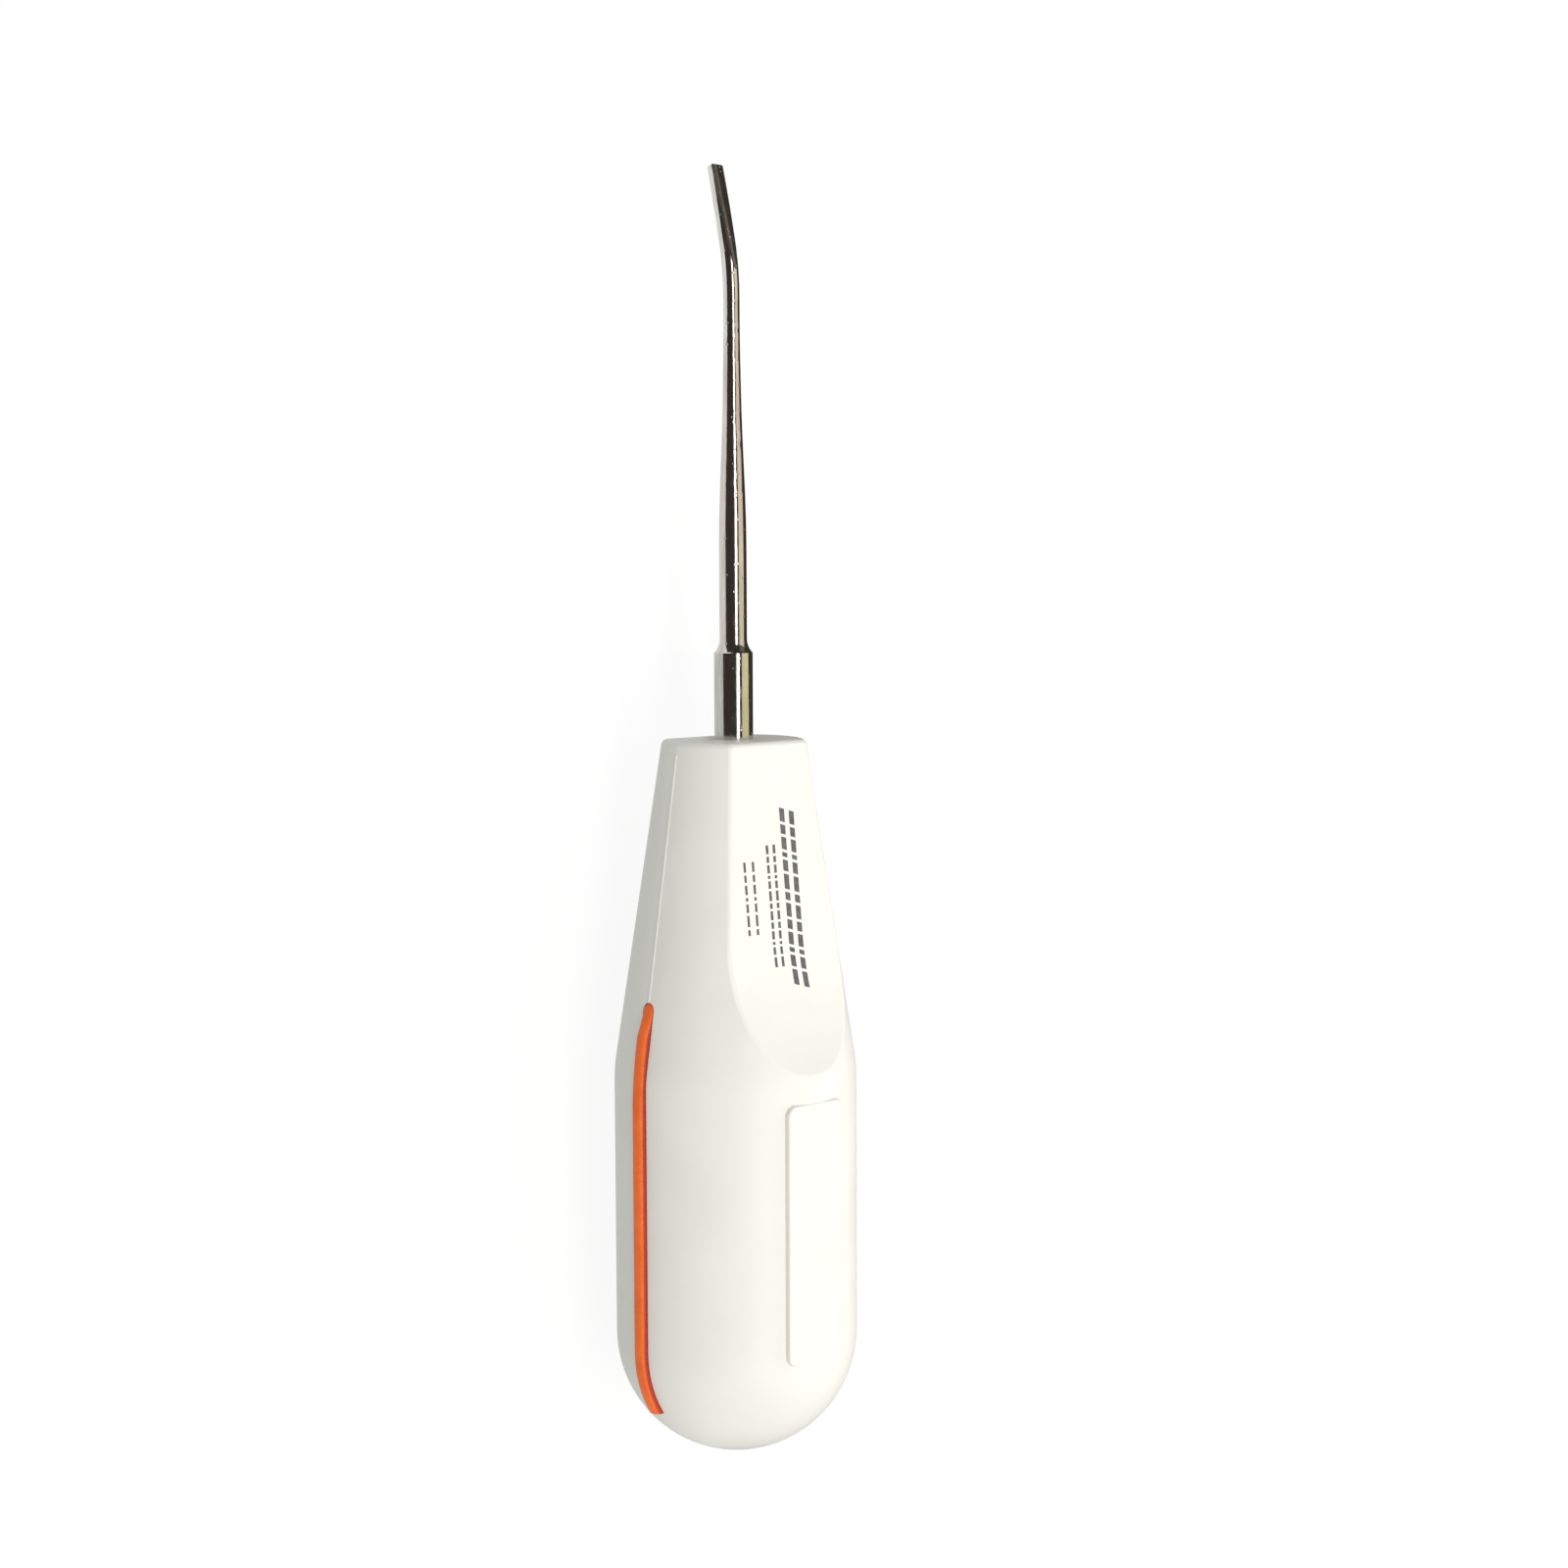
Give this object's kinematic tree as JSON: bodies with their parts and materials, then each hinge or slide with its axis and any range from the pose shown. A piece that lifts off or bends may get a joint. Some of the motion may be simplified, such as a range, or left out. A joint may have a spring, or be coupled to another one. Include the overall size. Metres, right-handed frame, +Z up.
{
  "type": "dental elevator",
  "caption": "Hand instrument with a slim bent gouge blade in a thick rounded two-part grip, used to loosen teeth.",
  "frame": {"origin": "under the middle of the tool's length, on the surface that it lies on", "axes": "+X along the tool from the butt to the tip, +Z up, out of the front thumb scoop; +Y to the left"},
  "size_m": [0.16, 0.032, 0.0305],
  "materials": {
    "steel": "polished stainless steel",
    "white_plastic": "satin moulded plastic, warm white",
    "orange_inlay": "smooth soft plastic, orange",
    "pin_steel": "plain ground steel",
    "print_ink": "thin dark grey print, on the front scoop only in the visual model"
  },
  "bodies": {
    "root": {"blade": "steel", "handle_front": "white_plastic", "handle_rear": "white_plastic", "strip_left": "orange_inlay", "strip_right": "orange_inlay", "tang_pin": "pin_steel"}
  },
  "joints": []
}
